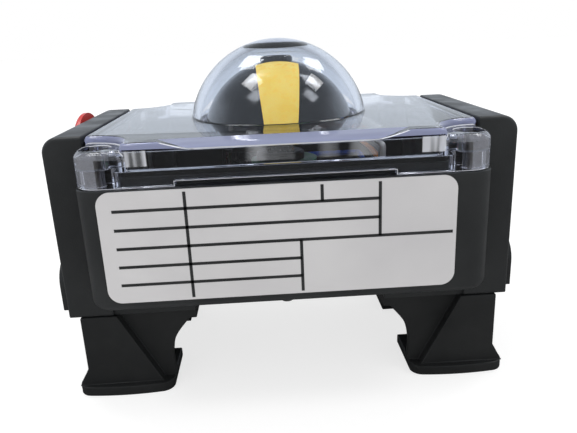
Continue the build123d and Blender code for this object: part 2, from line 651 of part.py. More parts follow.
def make_bush():
    """Stepped bush through the floor, with the seal groove."""
    bore = SHAFT_RADIUS + RUNNING_GAP
    bush = tube(BUSH_OUT, bore, BOSS_BOTTOM, FLOOR_TOP)
    bush += tube(BOSS_RADIUS, bore, FLOOR_TOP, BOSS_TOP)
    bush += tube(BUSH_FLANGE_RADIUS, bore, BOSS_TOP, BOSS_TOP + BUSH_FLANGE)
    middle = (BOSS_BOTTOM + BOSS_TOP) / 2
    return bush - tube(bore + 2 * SEAL_SECTION + 0.1, bore - 0.1, middle - 1, middle + 1)


def make_seal():
    """O-ring in the bush groove."""
    middle = (BOSS_BOTTOM + BOSS_TOP) / 2
    return Pos(0, 0, middle) * Torus(SHAFT_RADIUS + RUNNING_GAP + SEAL_SECTION, SEAL_SECTION)


def cam_profile(rising):
    """Cam outline in plan: a straight-line lift over the shaft's travel, round elsewhere.

    The lever sits at +Y, so a shaft angle a brings the profile point at 90 - a under it.
    """
    steps = 12
    lift = []
    for i in range(steps + 1):
        share = i / steps
        angle = math.radians(90 - SHAFT_TRAVEL * (1 - share))
        height = 1 - share if rising else share
        radius = CAM_LOW + (CAM_HIGH - CAM_LOW) * height
        lift.append((radius * math.cos(angle), radius * math.sin(angle)))
    first = CAM_HIGH if rising else CAM_LOW
    last = CAM_LOW if rising else CAM_HIGH
    turn = math.radians(12)
    before = (first * math.cos(-turn), first * math.sin(-turn))
    after_angle = math.pi / 2 + turn
    after = (last * math.cos(after_angle), last * math.sin(after_angle))
    back_angle = math.radians(210)
    back = (CAM_LOW * math.cos(back_angle), CAM_LOW * math.sin(back_angle))
    spline = Spline(*lift)
    lead_in = ThreePointArc(before, (first * math.cos(-turn / 2), first * math.sin(-turn / 2)), lift[0])
    lead_out_angle = math.pi / 2 + turn / 2
    lead_out = ThreePointArc(lift[-1], (last * math.cos(lead_out_angle), last * math.sin(lead_out_angle)),
                             after)
    heel = ThreePointArc(after, back, before)
    return make_face([spline, lead_out, heel, lead_in])


def make_cam(rising, bottom):
    """One cam with its square bore and set-screw hole."""
    cam = rise(cam_profile(rising), bottom, bottom + CAM_THICK)
    cam -= square_bore(bottom, bottom + CAM_THICK)
    return cam - set_screw(bottom, CAM_LOW + 4)


def set_screw(bottom, reach):
    """Set screw towards -X from the shaft's flat."""
    return rod_x(SET_SCREW_RADIUS, -SQUARE / 2, -reach, 0, bottom + CAM_THICK / 2)


def make_set_screws():
    """One set screw in each cam."""
    return group([set_screw(bottom, CAM_LOW - 0.8) for bottom in (CAM_1_BOTTOM, CAM_2_BOTTOM)])


def make_cam_spacer():
    """Distance ring between the cams."""
    low = CAM_1_BOTTOM + CAM_THICK
    return post(TOP_RING_RADIUS, low, low + CAM_SPACER) - square_bore(low, low + CAM_SPACER)


def make_top_ring():
    """Ring that closes the cam stack."""
    top = CAM_2_TOP + TOP_RING
    ring = post(TOP_RING_RADIUS, CAM_2_TOP, top) - square_bore(CAM_2_TOP, top)
    return chamfer(ring.faces().sort_by(Axis.Z)[-1].edges().filter_by(GeomType.CIRCLE), 0.5)


# ---------------------------------------------------------------- switches
def lever_angle():
    """Slope of the pressed lever, from hinge to roll."""
    return math.degrees(math.atan2(HINGE_Y - ROLL_Y, -HINGE_X))


def make_lever(mid_z, swing):
    """Formed lever: barrel on the hinge pin, flat blade and a rolled nose at x = 0."""
    low = mid_z - LEVER_WIDTH / 2
    high = mid_z + LEVER_WIDTH / 2
    length = math.hypot(HINGE_X, HINGE_Y - ROLL_Y)
    barrel = tube(HINGE_BARREL, HINGE_PIN + RUNNING_GAP, low, high)
    blade = block(HINGE_PIN + RUNNING_GAP + 0.1, length - ROLL_RADIUS + 0.2,
                  -LEVER_THICK / 2, LEVER_THICK / 2, low, high)
    nose = tube(ROLL_RADIUS, ROLL_RADIUS - LEVER_THICK, low, high, length)
    nose -= block(length, length + ROLL_RADIUS + 1, 0, ROLL_RADIUS + 1, low, high)
    lever = barrel + blade + nose
    return Pos(HINGE_X, HINGE_Y) * Rot(0, 0, -lever_angle() + swing) * lever


def make_switch(mid_z):
    """Snap-action switch: case, hinge cheeks with pin, plunger well, mounting holes and tabs."""
    low = mid_z - SWITCH_THICK / 2
    high = mid_z + SWITCH_THICK / 2
    case = block(SWITCH_LEFT, SWITCH_RIGHT, SWITCH_FACE_Y, SWITCH_BACK_Y, low, high)
    case = fillet(case.edges().filter_by(Axis.Z), 0.6)
    for x in SWITCH_HOLES:
        case -= post(SWITCH_SCREW_RADIUS + 0.1, low, high, x, SWITCH_HOLE_Y)
    well = PLUNGER_SIZE + PLUNGER_GAP
    case -= block(PLUNGER_X - well, PLUNGER_X + well, SWITCH_FACE_Y,
                  PLUNGER_TIP_Y + PLUNGER_DEEP + PLUNGER_TRAVEL + 1.2, mid_z - well, mid_z + well)
    cheek_low = LEVER_WIDTH / 2 + 0.15
    for sz in (-1, 1):
        cheek = block(HINGE_X - 1, HINGE_X + 1, HINGE_Y - 0.9, SWITCH_FACE_Y,
                      mid_z + sz * cheek_low, mid_z + sz * (cheek_low + 0.8))
        case += cheek
    case += post(HINGE_PIN, mid_z - cheek_low - 0.4, mid_z + cheek_low + 0.4, HINGE_X, HINGE_Y)
    for x in TAB_XS:
        tab = block(x - TAB_WIDTH / 2, x + TAB_WIDTH / 2, SWITCH_BACK_Y - 0.5, EYE_Y + TAB_END,
                    mid_z - TAB_THICK / 2, mid_z + TAB_THICK / 2)
        case += tab - post(TAB_EYE, mid_z - TAB_THICK, mid_z + TAB_THICK, x, EYE_Y)
    return case


def make_plunger(mid_z, travel):
    """Plunger in its well; travel shifts it out towards the lever."""
    tip = PLUNGER_TIP_Y - travel
    plunger = block(PLUNGER_X - PLUNGER_SIZE, PLUNGER_X + PLUNGER_SIZE, tip, tip + PLUNGER_DEEP,
                    mid_z - PLUNGER_SIZE, mid_z + PLUNGER_SIZE)
    nose = plunger.faces().sort_by(Axis.Y)[0].edges().filter_by(Axis.Z)
    return fillet(nose, PLUNGER_SIZE - 0.02)


def make_bracket():
    """Steel plate on the two posts, under the switches."""
    plate = block(-BRACKET_HALF_X, BRACKET_HALF_X, BRACKET_FRONT, BRACKET_BACK, POST_TOP, BRACKET_TOP)
    plate = fillet(plate.edges().filter_by(Axis.Z), 2.0)
    for side in (-1, 1):
        plate -= post(SMALL_SCREW + 0.15, POST_TOP, BRACKET_TOP, side * POST_X, POST_Y)
    for x in SWITCH_HOLES:
        plate -= post(SWITCH_SCREW_RADIUS + 0.1, POST_TOP, BRACKET_TOP, x, SWITCH_HOLE_Y)
    return plate


def pan_screw(radius, seat, reach, x, y):
    """Pan-head screw pointing down, with a cross recess."""
    head = post(2 * radius, seat, seat + 1.2 * radius, x, y)
    head = fillet(head.faces().sort_by(Axis.Z)[-1].edges(), 0.4 * radius)
    top = seat + 1.2 * radius
    for turn in (0, 90):
        head -= Pos(x, y, top) * Rot(0, 0, turn) * Box(2.2 * radius, 0.4 * radius, 1.2 * radius)
    return head + post(radius, seat - reach, seat, x, y)


def make_posts():
    """Two posts on spigots in the floor, under the bracket."""
    posts = []
    for side in (-1, 1):
        at = (side * POST_X, POST_Y)
        pillar = post(POST_RADIUS, FLOOR_TOP, POST_TOP, *at)
        pillar += post(SPIGOT_RADIUS, FLOOR_TOP - SPIGOT, FLOOR_TOP, *at)
        posts.append(pillar - post(SMALL_SCREW, POST_TOP - POST_GRIP - 0.2, POST_TOP, *at))
    return group(posts)


def make_bracket_screws():
    """Two screws that hold the bracket to its posts."""
    return group([pan_screw(SMALL_SCREW, BRACKET_TOP, BRACKET + POST_GRIP, side * POST_X, POST_Y)
                  for side in (-1, 1)])


def make_switch_spacer():
    """Insulating plate between the two switches."""
    low = SWITCH_1_Z + SWITCH_THICK / 2
    high = SWITCH_2_Z - SWITCH_THICK / 2
    plate = block(SWITCH_LEFT, SWITCH_RIGHT, SWITCH_FACE_Y + 0.5, SWITCH_BACK_Y, low, high)
    plate = fillet(plate.edges().filter_by(Axis.Z), 0.6)
    for x in SWITCH_HOLES:
        plate -= post(SWITCH_SCREW_RADIUS + 0.1, low, high, x, SWITCH_HOLE_Y)
    return plate


def make_switch_screws():
    """Two long screws through both switches."""
    reach = STACK_TOP - POST_TOP + NUT + NUT_PROUD
    return group([pan_screw(SWITCH_SCREW_RADIUS, STACK_TOP, reach, x, SWITCH_HOLE_Y) for x in SWITCH_HOLES])


def make_switch_nuts():
    """Hexagon nuts under the bracket."""
    low = POST_TOP - NUT
    nuts = []
    for x in SWITCH_HOLES:
        nut = Pos(x, SWITCH_HOLE_Y, low) * extrude(RegularPolygon(NUT_RADIUS, 6), NUT)
        nuts.append(nut - post(SWITCH_SCREW_RADIUS, low, low + NUT, x, SWITCH_HOLE_Y))
    return group(nuts)


# ---------------------------------------------------------------- terminal block
def pole_x(index):
    """Centre of a pole."""
    return (index - (POLES - 1) / 2) * POLE_PITCH


def make_terminal_block():
    """Screw terminal block with two fixing ears."""
    top = FLOOR_TOP + BLOCK_HEIGHT
    middle_y = sum(BLOCK_Y) / 2
    body = block(-BLOCK_HALF_X, BLOCK_HALF_X, *BLOCK_Y, FLOOR_TOP, top)
    body = chamfer(body.faces().sort_by(Axis.Z)[-1].edges().filter_by(Axis.X), 1.5)
    for side in (-1, 1):
        ear = block(side * (BLOCK_HALF_X - 1), side * (BLOCK_EAR_X + BLOCK_EAR_HALF),
                    BLOCK_EAR_Y - BLOCK_EAR_HALF, BLOCK_EAR_Y + BLOCK_EAR_HALF,
                    FLOOR_TOP, FLOOR_TOP + BLOCK_EAR)
        body += ear
        body -= post(SMALL_SCREW + 0.1, FLOOR_TOP, FLOOR_TOP + BLOCK_EAR, side * BLOCK_EAR_X, BLOCK_EAR_Y)
    for i in range(POLES):
        x = pole_x(i)
        body -= post(POLE_SCREW_RADIUS + 0.3, top - POLE_SINK, top, x, middle_y)
        for face_y, inward in ((BLOCK_Y[0], 1), (BLOCK_Y[1], -1)):
            body -= block(x - WIRE_HOLE / 2, x + WIRE_HOLE / 2, face_y, face_y + inward * WIRE_HOLE_DEEP,
                          FLOOR_TOP + WIRE_HOLE_UP, FLOOR_TOP + WIRE_HOLE_UP + WIRE_HOLE)
    for i in range(1, POLES):
        x = pole_x(i) - POLE_PITCH / 2
        body -= block(x - 0.35, x + 0.35, *BLOCK_Y, top - 1.2, top)
    return body


def make_pole_screws():
    """Slotted terminal screws, one for each pole."""
    seat = FLOOR_TOP + BLOCK_HEIGHT - POLE_SINK
    screws = []
    for i in range(POLES):
        head = post(POLE_SCREW_RADIUS, seat, seat + POLE_SCREW, pole_x(i), sum(BLOCK_Y) / 2)
        slot = Box(3 * POLE_SCREW_RADIUS, POLE_SLOT, POLE_SCREW / 2)
        head -= Pos(pole_x(i), sum(BLOCK_Y) / 2, seat + POLE_SCREW) * Rot(0, 0, 25 * i) * slot
        screws.append(head)
    return group(screws)


def make_block_screws():
    """Two screws that hold the terminal block to the floor."""
    seat = FLOOR_TOP + BLOCK_EAR
    return group([pan_screw(SMALL_SCREW, seat, BLOCK_EAR + FLOOR * 0.7, side * BLOCK_EAR_X, BLOCK_EAR_Y)
                  for side in (-1, 1)])


# ---------------------------------------------------------------- wires
def make_wires():
    """Six insulated wires from the switch tabs, along the right wall and into the terminal block."""
    hole_z = FLOOR_TOP + WIRE_HOLE_UP + WIRE_HOLE / 2
    wires = []
    for level, mid_z in enumerate((SWITCH_1_Z, SWITCH_2_Z)):
        for i, tab_x in enumerate(TAB_XS):
            rank = 3 * level + 2 - i
            run_z = mid_z + WIRE_RISE + WIRE_PITCH * (2 - i)
            low_z = hole_z + WIRE_PITCH * rank
            down_y = WIRE_FIRST_DROP - WIRE_PITCH * rank
            pole = pole_x(POLES - 1 - rank)
            points = [(tab_x, EYE_Y, mid_z + TAB_THICK / 2), (tab_x, EYE_Y, run_z),
                      (WIRE_SIDE_X, EYE_Y, run_z), (WIRE_SIDE_X, down_y, run_z), (WIRE_SIDE_X, down_y, low_z),
                      (WIRE_SIDE_X, WIRE_LANE_Y, low_z), (pole, WIRE_LANE_Y, low_z)]
            if rank:
                points.append((pole, WIRE_LANE_Y, hole_z))
            points.append((pole, BLOCK_Y[1] - WIRE_IN, hole_z))
            path = FilletPolyline(*points, radius=WIRE_BEND)
            wires.append(sweep(Plane(path @ 0, z_dir=path % 0) * Circle(WIRE_RADIUS), path=path))
    return group(wires)


# ---------------------------------------------------------------- indicator
def band_wedge():
    """Tapered slabs front and back that the bands and their grooves share."""
    face = outline_face([(-BAND_HALF_LOW, INDICATOR_BASE), (BAND_HALF_LOW, INDICATOR_BASE),
                         (BAND_HALF_HIGH, INDICATOR_TOP), (-BAND_HALF_HIGH, INDICATOR_TOP)])
    slab = plate_y(face, -INDICATOR_RADIUS - 1, INDICATOR_RADIUS + 1)
    return slab - plate_y(face, -BAND_START, BAND_START)


def cap(radius, top):
    """A ball of the indicator cut to its height."""
    ball = Pos(0, 0, INDICATOR_CENTRE_Z) * Sphere(radius)
    return ball & block(-radius, radius, -radius, radius, INDICATOR_BASE, top)


def make_indicator():
    """Black domed indicator with hub and the groove for its band."""
    shell = cap(INDICATOR_RADIUS, INDICATOR_TOP) - cap(INDICATOR_RADIUS - INDICATOR_WALL,
                                                       INDICATOR_TOP - INDICATOR_WALL)
    shell -= (band_wedge() - cap(INDICATOR_RADIUS - BAND_THICK, INDICATOR_TOP))
    hub = post(HUB_RADIUS, HUB_BOTTOM, INDICATOR_TOP - INDICATOR_WALL)
    body = shell + hub
    body -= square_bore(HUB_BOTTOM, SHAFT_TOP)
    body -= post(INDICATOR_SCREW + 0.1, HUB_BOTTOM, INDICATOR_TOP)
    return body - post(TOP_SCREW_HEAD_RADIUS + 0.2, INDICATOR_TOP - TOP_SCREW_SINK, INDICATOR_TOP)


def make_band():
    """Yellow bands let into the front and back of the dome."""
    skin = cap(INDICATOR_RADIUS + BAND_PROUD, INDICATOR_TOP) - cap(INDICATOR_RADIUS - BAND_THICK + BAND_GAP,
                                                                   INDICATOR_TOP)
    return group([skin & band_wedge()])


def make_indicator_screw():
    """Screw down through the dome into the shaft."""
    seat = INDICATOR_TOP - TOP_SCREW_SINK
    head = post(TOP_SCREW_HEAD_RADIUS, seat, seat + TOP_SCREW_HEAD)
    head = fillet(head.faces().sort_by(Axis.Z)[-1].edges(), 0.7)
    head -= Pos(0, 0, seat + TOP_SCREW_HEAD) * Box(12, 1.0, 1.6)
    return head + post(INDICATOR_SCREW, SHAFT_TOP - 7.5, seat)


# ---------------------------------------------------------------- write every node
NODES = {
    "housing": make_housing(),
    "label_plate": make_label(),
    "foot_front_left": placed_foot(-1, -1),
    "foot_front_right": placed_foot(1, -1),
    "foot_rear_left": placed_foot(-1, 1),
    "foot_rear_right": placed_foot(1, 1),
    "foot_screws": make_foot_screws(),
    "clear_cover": make_cover(),
    "cover_screws": make_cover_screws(),
    "cover_washers": make_cover_washers(),
    "cover_inserts": make_inserts(),
    "cover_gasket": make_gasket(),
    "dust_plug": make_plug(),
    "drive_shaft": make_shaft(),
    "shaft_circlip": make_circlip(),
    "shaft_bush": make_bush(),
    "shaft_seal": make_seal(),
    "thrust_washer": tube(COLLAR_RADIUS + 1.5, SHAFT_RADIUS + RUNNING_GAP,
                          BOSS_TOP + BUSH_FLANGE, WASHER_TOP),
    "cam_lower": make_cam(False, CAM_1_BOTTOM),
    "cam_upper": make_cam(True, CAM_2_BOTTOM),
    "cam_spacer": make_cam_spacer(),
    "cam_top_ring": make_top_ring(),
    "cam_set_screws": make_set_screws(),
    "switch_lower": make_switch(SWITCH_1_Z),
    "switch_upper": make_switch(SWITCH_2_Z),
    "lever_lower": make_lever(SWITCH_1_Z, 0),
    "lever_upper": make_lever(SWITCH_2_Z, -LEVER_SWING),
    "plunger_lower": make_plunger(SWITCH_1_Z, 0),
    "plunger_upper": make_plunger(SWITCH_2_Z, PLUNGER_TRAVEL),
    "switch_spacer": make_switch_spacer(),
    "switch_screws": make_switch_screws(),
    "switch_nuts": make_switch_nuts(),
    "switch_bracket": make_bracket(),
    "bracket_posts": make_posts(),
    "bracket_screws": make_bracket_screws(),
    "terminal_block": make_terminal_block(),
    "terminal_screws": make_pole_screws(),
    "block_screws": make_block_screws(),
    "switch_wires": make_wires(),
    "indicator_dome": make_indicator(),
    "indicator_band": make_band(),
    "indicator_screw": make_indicator_screw(),
}
for name, part in NODES.items():
    save(name, part)
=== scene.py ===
import json
import math

import bpy
from mathutils import Matrix, Vector

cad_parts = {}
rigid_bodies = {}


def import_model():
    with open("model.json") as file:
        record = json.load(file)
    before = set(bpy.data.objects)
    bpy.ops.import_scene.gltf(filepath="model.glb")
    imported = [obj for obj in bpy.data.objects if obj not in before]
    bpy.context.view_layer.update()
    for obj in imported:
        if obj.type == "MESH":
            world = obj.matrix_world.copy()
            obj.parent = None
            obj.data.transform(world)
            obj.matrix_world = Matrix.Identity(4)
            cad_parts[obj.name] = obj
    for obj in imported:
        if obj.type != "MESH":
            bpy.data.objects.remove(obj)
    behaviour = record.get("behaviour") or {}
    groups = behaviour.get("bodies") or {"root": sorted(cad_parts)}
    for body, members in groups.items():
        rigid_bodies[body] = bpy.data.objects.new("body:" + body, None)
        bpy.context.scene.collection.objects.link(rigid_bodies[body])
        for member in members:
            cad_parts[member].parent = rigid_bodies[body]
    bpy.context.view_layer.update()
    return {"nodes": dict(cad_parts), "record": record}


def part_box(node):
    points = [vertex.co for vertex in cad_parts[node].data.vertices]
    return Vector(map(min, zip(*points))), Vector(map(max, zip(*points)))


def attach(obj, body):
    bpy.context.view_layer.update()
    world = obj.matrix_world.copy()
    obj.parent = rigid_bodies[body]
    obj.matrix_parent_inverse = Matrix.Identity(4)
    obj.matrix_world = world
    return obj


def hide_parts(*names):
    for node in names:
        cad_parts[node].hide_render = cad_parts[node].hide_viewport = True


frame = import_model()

NODES = frame["nodes"]
MM = 0.001
MERGE_WITHIN = 0.001 * MM

# moulded edges: material slot, segments, and the angles in degrees that count as flat and as an edge
EDGE_SLOT = 1
EDGE_SEGMENTS = 2
FLAT_WITHIN = 0.4
EDGE_ABOVE = 40

# the clear cover, in millimetres: reach of its dome, top and reach of its ears
DOME_REACH = 27.5
EAR_TOP = 59.15
EAR_REACH_X = 8.5
EAR_REACH_Y = 9.5
STEEP = 0.93
# lavender on the rim's outer faces, above the ears and on them: partly the plastic's tint, partly
# painted reflected light
RAISED_TINT_AND_LIGHT = 1.0
EAR_TINT_AND_LIGHT = 0.3
# where the painted highlight streaks and painted sheen lie in the cover's front and back walls
WALL_DEPTH = (35.0, 37.0)
WALL_HEIGHT = (56.2, 59.0)
STREAKS_BESIDE_EAR = (26.5, 30.9)
SHEEN_BETWEEN = (-1.0, 25.5)
UPRIGHT = (1, 0.1, 0.1)


# ---------------------------------------------------------------- workshop helpers
def clear_selection():
    """Nothing selected, nothing active."""
    for obj in bpy.data.objects:
        obj.select_set(False)
    bpy.context.view_layer.objects.active = None


def pick(*objects):
    """Only these objects selected, the first one active."""
    clear_selection()
    for obj in objects:
        obj.select_set(True)
    bpy.context.view_layer.objects.active = objects[0]


def settle(obj):
    """Puts the object's place and size into its mesh."""
    pick(obj)
    bpy.ops.object.transform_apply(location=True, rotation=True, scale=True)


def smooth(obj, degrees=35):
    """Smooth surfaces with crisp edges."""
    pick(obj)
    bpy.ops.object.shade_smooth_by_angle(angle=math.radians(degrees))


def dress(obj, name, material, body, slot, *stands_for):
    """Names, finishes and mounts one piece, all in one material."""
    obj.name = name
    obj.data.name = name
    for face in obj.data.polygons:
        face.material_index = 0
    obj.data.materials.clear()
    obj.data.materials.append(material)
    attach(obj, body)
    if stands_for:
        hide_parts(*stands_for)
    return obj


def merged_copy(node):
    """The CAD node's own shape as one joined skin, smooth where it is round."""
    skin = bpy.data.objects.new(node + "_skin", NODES[node].data.copy())
    bpy.context.scene.collection.objects.link(skin)
    pick(skin)
    if skin.data.has_custom_normals:
        bpy.ops.mesh.customdata_custom_splitnormals_clear()
    bpy.ops.object.mode_set(mode="EDIT")
    bpy.ops.mesh.select_all(action="SELECT")
    bpy.ops.mesh.remove_doubles(threshold=MERGE_WITHIN)
    bpy.ops.object.mode_set(mode="OBJECT")
    smooth(skin, 30)
    return skin


def soften_edges(obj, radius_mm):
    """Moulded radius along every crisp edge, its faces in their own material slot."""
    obj.data.materials.clear()
    for _ in range(EDGE_SLOT + 1):
        obj.data.materials.append(None)
    for face in obj.data.polygons:
        face.material_index = 0
    pick(obj)
    bpy.ops.object.mode_set(mode="EDIT")
    bpy.ops.mesh.select_all(action="SELECT")
    bpy.ops.mesh.dissolve_limited(angle_limit=math.radians(FLAT_WITHIN))
    bpy.ops.object.mode_set(mode="OBJECT")
    edge = obj.modifiers.new("moulded_edge", "BEVEL")
    edge.width = radius_mm * MM
    edge.segments = EDGE_SEGMENTS
    edge.limit_method = "ANGLE"
    edge.angle_limit = math.radians(EDGE_ABOVE)
    edge.use_clamp_overlap = False
    edge.harden_normals = False
    edge.material = EDGE_SLOT
    bpy.ops.object.modifier_apply(modifier=edge.name)
    smooth(obj, EDGE_ABOVE)


# ---------------------------------------------------------------- finishes
class Finish:
    """A procedural material: one shader with patterns in object coordinates."""

    def __init__(self, name, color, roughness, metallic=0.0, specular=0.5):
        self.material = bpy.data.materials.new(name)
        self.material.use_nodes = True
        self.tree = self.material.node_tree
        self.tree.nodes.clear()
        self.shader = self.add("ShaderNodeBsdfPrincipled")
        self.output = self.add("ShaderNodeOutputMaterial")
        self.join(self.shader.outputs[0], self.output.inputs["Surface"])
        self.where = self.add("ShaderNodeTexCoord").outputs["Object"]
        self.set("Base Color", (*color, 1.0))
        self.set("Roughness", roughness)
        self.set("Metallic", metallic)
        self.set("Specular IOR Level", specular)

    def add(self, kind, **options):
        node = self.tree.nodes.new(kind)
        for key, value in options.items():
            setattr(node, key, value)
        return node

    def join(self, out, into):
        self.tree.links.new(out, into)

    def set(self, socket, value):
        self.shader.inputs[socket].default_value = value

    def noise(self, size_mm, detail=3.0, stretch=(1, 1, 1), offset=(0, 0, 0)):
        """Noise whose patches are about size_mm across."""
        mapping = self.add("ShaderNodeMapping")
        mapping.inputs["Scale"].default_value = stretch
        mapping.inputs["Location"].default_value = offset
        self.join(self.where, mapping.inputs["Vector"])
        noise = self.add("ShaderNodeTexNoise")
        noise.inputs["Scale"].default_value = 1000.0 / size_mm
        noise.inputs["Detail"].default_value = detail
        self.join(mapping.outputs[0], noise.inputs["Vector"])
        return noise.outputs["Fac"]

    def span(self, value, low, high, start=0.3, stop=0.7):
        """Stretches a 0 to 1 pattern between two levels."""
        span = self.add("ShaderNodeMapRange")
        span.inputs["From Min"].default_value = start
        span.inputs["From Max"].default_value = stop
        span.inputs["To Min"].default_value = low
        span.inputs["To Max"].default_value = high
        self.join(value, span.inputs["Value"])
        return span.outputs["Result"]

    def combine(self, kind, first, second):
        """One arithmetic step between two patterns, held between 0 and 1."""
        step = self.add("ShaderNodeMath", operation=kind, use_clamp=True)
        for socket, value in ((step.inputs[0], first), (step.inputs[1], second)):
            if isinstance(value, float):
                socket.default_value = value
            else:
                self.join(value, socket)
        return step.outputs[0]

    def window(self, value, places, fade_mm):
        """1 between two places, 0 outside, with soft ends."""
        low_mm, high_mm = places
        rise = self.span(value, 0.0, 1.0, (low_mm - fade_mm) * MM, low_mm * MM)
        fall = self.span(value, 1.0, 0.0, high_mm * MM, (high_mm + fade_mm) * MM)
        return self.combine("MULTIPLY", rise, fall)

    def blend(self, share, first, second):
        """Mixes two colours, or sockets, by a pattern."""
        mix = self.add("ShaderNodeMix", data_type="RGBA")
        self.join(share, mix.inputs["Factor"])
        for socket, colour in ((mix.inputs[6], first), (mix.inputs[7], second)):
            if isinstance(colour, tuple):
                socket.default_value = (*colour, 1.0)
            else:
                self.join(colour, socket)
        return mix.outputs[2]

    def colour(self, source):
        self.join(source, self.shader.inputs["Base Color"])

    def rough(self, source):
        self.join(source, self.shader.inputs["Roughness"])

    def bump(self, source, depth_mm, strength=1.0):
        bump = self.add("ShaderNodeBump")
        bump.inputs["Strength"].default_value = strength
        bump.inputs["Distance"].default_value = depth_mm * MM
        self.join(source, bump.inputs["Height"])
        self.join(bump.outputs[0], self.shader.inputs["Normal"])


def moulded(name, dark, light, rough_low, rough_high, grain_mm, grain_depth, specular):
    """Moulded plastic with a fine grain, faint clouding and rubbed patches."""
    finish = Finish(name, dark, rough_low, specular=specular)
    cloud = finish.span(finish.noise(17.0, 4.0), 0.0, 1.0, 0.35, 0.68)
    finish.colour(finish.blend(cloud, dark, light))
    rub = finish.noise(6.0, 5.0, offset=(0.4, 0.1, 0.7))
    finish.rough(finish.span(rub, rough_low, rough_high, 0.35, 0.65))
    finish.bump(finish.noise(grain_mm, 2.0), grain_depth)
    return finish.material


def turned(name, tone, dark, roughness, streak=(1, 1, 14)):
    """Metal with fine tool streaks and a little staining."""
    finish = Finish(name, tone, roughness, metallic=1.0)
    stain = finish.span(finish.noise(2.4, 4.0), 0.0, 1.0, 0.45, 0.75)
    finish.colour(finish.blend(stain, tone, dark))
    lines = finish.noise(0.5, 3.0, stretch=streak)
    finish.rough(finish.span(lines, roughness * 0.8, roughness * 1.35))
    finish.bump(lines, 0.01)
    return finish.material


def corner_gleam(finish):
    """Upright streaks of light in the cover's wall beside each ear, and a faint sheen between."""
    axes = finish.add("ShaderNodeSeparateXYZ")
    finish.join(finish.where, axes.inputs[0])
    sides = []
    for axis in ("X", "Y"):
        size = finish.add("ShaderNodeMath", operation="ABSOLUTE")
        finish.join(axes.outputs[axis], size.inputs[0])
        sides.append(size.outputs[0])
    streak = finish.span(finish.noise(1.5, 1.0, stretch=UPRIGHT), 0.15, 1.0, 0.4, 0.62)
    patches = finish.noise(9.0, 2.0, stretch=UPRIGHT, offset=(0.013, 0, 0))
    sheen = finish.span(patches, 0.0, 0.4, 0.5, 0.64)
    beside = finish.combine("MULTIPLY", streak, finish.window(sides[0], STREAKS_BESIDE_EAR, 0.2))
    between = finish.combine("MULTIPLY", sheen, finish.window(sides[0], SHEEN_BETWEEN, 0.5))
    wall = finish.combine("MULTIPLY", finish.window(sides[1], WALL_DEPTH, 0.2),
                          finish.window(axes.outputs["Z"], WALL_HEIGHT, 0.2))
    # the painted highlights and painted sheen, laid into the cover's colour
    return finish.combine("MULTIPLY", wall, finish.combine("MAXIMUM", beside, between))


def clear_moulding():
    """Clear cover plastic: violet where it is thick or cut across, partly its own tint and partly
    painted reflected light, and painted white highlights along its edges.
    """
    finish = Finish("clear_cover_plastic", (0.92, 0.945, 0.985), 0.02)
    finish.set("IOR", 1.5)
    tinted_light = finish.add("ShaderNodeAttribute", attribute_name="edge_tint_and_light").outputs["Fac"]
    glint = finish.add("ShaderNodeAttribute", attribute_name="edge_glint").outputs["Fac"]
    glint = finish.combine("MAXIMUM", glint, corner_gleam(finish))
    # violet where the rim is marked: partly the plastic's tint, partly painted reflected light
    body = finish.blend(tinted_light, (0.93, 0.955, 0.99), (0.46, 0.50, 0.75))
    # painted white highlights along the marked edges and in the walls, pale and letting less light
    # through
    finish.colour(finish.blend(glint, body, (0.88, 0.90, 0.97)))
    clear = finish.span(tinted_light, 1.0, 0.5, 0.0, 1.0)
    painted_highlight_share = finish.span(glint, 0.0, 0.6, 0.0, 1.0)
    share = finish.combine("SUBTRACT", clear, painted_highlight_share)
    finish.join(share, finish.shader.inputs["Transmission Weight"])
    haze = finish.noise(9.0, 3.0)
    finish.rough(finish.span(haze, 0.01, 0.05, 0.35, 0.7))
    ripple = finish.noise(14.0, 1.0, offset=(0.2, 0.5, 0.3))
    finish.bump(ripple, 0.02)
    depth = finish.add("ShaderNodeVolumeAbsorption")
    depth.inputs["Color"].default_value = (0.34, 0.37, 0.58, 1.0)
    depth.inputs["Density"].default_value = 34.0
    finish.join(depth.outputs[0], finish.output.inputs["Volume"])
    return finish.material


def mark_cover_edges(cover):
    """Marks the cover's cut faces for a lavender that is partly the plastic's tint and partly painted
    reflected light, and its outer edges for painted white highlights.
    """
    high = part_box("clear_cover")[1]
    mesh = cover.data
    tinted_light = mesh.attributes.new("edge_tint_and_light", "FLOAT", "FACE")
    glint = mesh.attributes.new("edge_glint", "FLOAT", "FACE")
    for face in mesh.polygons:
        centre, normal = face.center, face.normal
        outward = centre.x * normal.x + centre.y * normal.y > 0
        at_rim = math.hypot(centre.x, centre.y) > DOME_REACH * MM
        raised = centre.z > EAR_TOP * MM
        past_x = abs(centre.x) > high.x - EAR_REACH_X * MM
        past_y = abs(centre.y) > high.y - EAR_REACH_Y * MM
        # lavender on the rim's outer faces: partly the plastic's tint, partly painted reflected light
        if at_rim and outward and abs(normal.z) < STEEP:
            low_tint_and_light = EAR_TINT_AND_LIGHT if past_x and past_y else 0.0
            tinted_light.data[face.index].value = RAISED_TINT_AND_LIGHT if raised else low_tint_and_light
        # painted white highlights along the rim's outer edges
        if face.material_index == EDGE_SLOT and at_rim and (outward or abs(normal.z) > 0.5):
            glint.data[face.index].value = 1.0


def black_dome_gloss():
    """Deep black polished moulding under a clear lacquer."""
    finish = Finish("indicator_gloss_black", (0.006, 0.006, 0.006), 0.08, specular=0.5)
    finish.set("Coat Weight", 0.35)
    finish.set("Coat Roughness", 0.16)
    finish.rough(finish.span(finish.noise(3.0, 4.0), 0.05, 0.1, 0.4, 0.7))
    return finish.material


